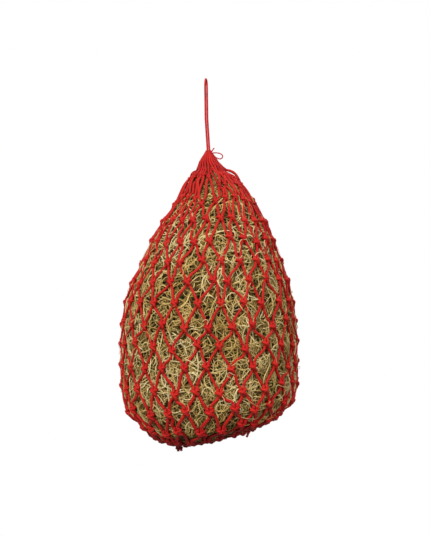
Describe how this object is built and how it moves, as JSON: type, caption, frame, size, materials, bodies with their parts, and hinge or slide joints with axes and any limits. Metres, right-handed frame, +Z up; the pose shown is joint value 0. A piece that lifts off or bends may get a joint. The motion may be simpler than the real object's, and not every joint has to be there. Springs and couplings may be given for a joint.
{
  "type": "hay net",
  "caption": "Knotted cord net of diamond meshes packed with loose hay, drawn shut at the top by a cord with a slip knot and bow, and hung from the loop of the doubled cord.",
  "frame": {"origin": "where the hook bears on the hanging loop, at the inside top of the loop", "axes": "+Z up along the draw cord; +X to the right as the net is seen from the front, the bottom gather lying towards -X; -Y towards the front"},
  "size_m": [0.4266, 0.4266, 0.8816],
  "materials": {
    "draw_cord": "satin",
    "bow_cord": "satin",
    "netting_twine": "satin",
    "hay": "matte"
  },
  "bodies": {
    "loop": {"hanging_loop": "draw_cord"},
    "cord_upper": {"upper_strand_left": "draw_cord", "upper_strand_right": "draw_cord"},
    "cord_lower": {"lower_strand_left": "draw_cord", "lower_strand_right": "draw_cord"},
    "net": {"slip_knot": "draw_cord", "bow_loop": "bow_cord", "cord_tail": "bow_cord", "mouth_turn": "draw_cord", "mouth_loops": "netting_twine", "mesh_course_01": "netting_twine", "mesh_course_02": "netting_twine", "mesh_course_03": "netting_twine", "mesh_course_04": "netting_twine", "mesh_course_05": "netting_twine", "mesh_course_06": "netting_twine", "mesh_course_07": "netting_twine", "mesh_course_08": "netting_twine", "mesh_course_09": "netting_twine", "mesh_course_10": "netting_twine", "mesh_course_11": "netting_twine", "mesh_course_12": "netting_twine", "mesh_course_13": "netting_twine", "mesh_course_14": "netting_twine", "mesh_course_15": "netting_twine", "bottom_loops": "netting_twine", "bottom_gather": "netting_twine", "bottom_tie": "netting_twine", "bottom_knot": "netting_twine", "twine_tail": "netting_twine", "hay_flake_top": "hay", "hay_flake_upper": "hay", "hay_flake_middle": "hay", "hay_flake_lower": "hay"}
  },
  "joints": [
    {"name": "swing_fore", "type": "hinge", "parent": "loop", "child": "cord_upper", "pos_m": [0, 0, -0.054], "axis": [1, 0, 0], "range_deg": [-35, 35]},
    {"name": "swing_side", "type": "hinge", "parent": "cord_upper", "child": "cord_lower", "pos_m": [0, 0, -0.092], "axis": [0, 1, 0], "range_deg": [-35, 35]},
    {"name": "twist", "type": "hinge", "parent": "cord_lower", "child": "net", "pos_m": [0.004, 0, -0.17], "axis": [0, 0, 1], "range_deg": [-180, 180]}
  ]
}
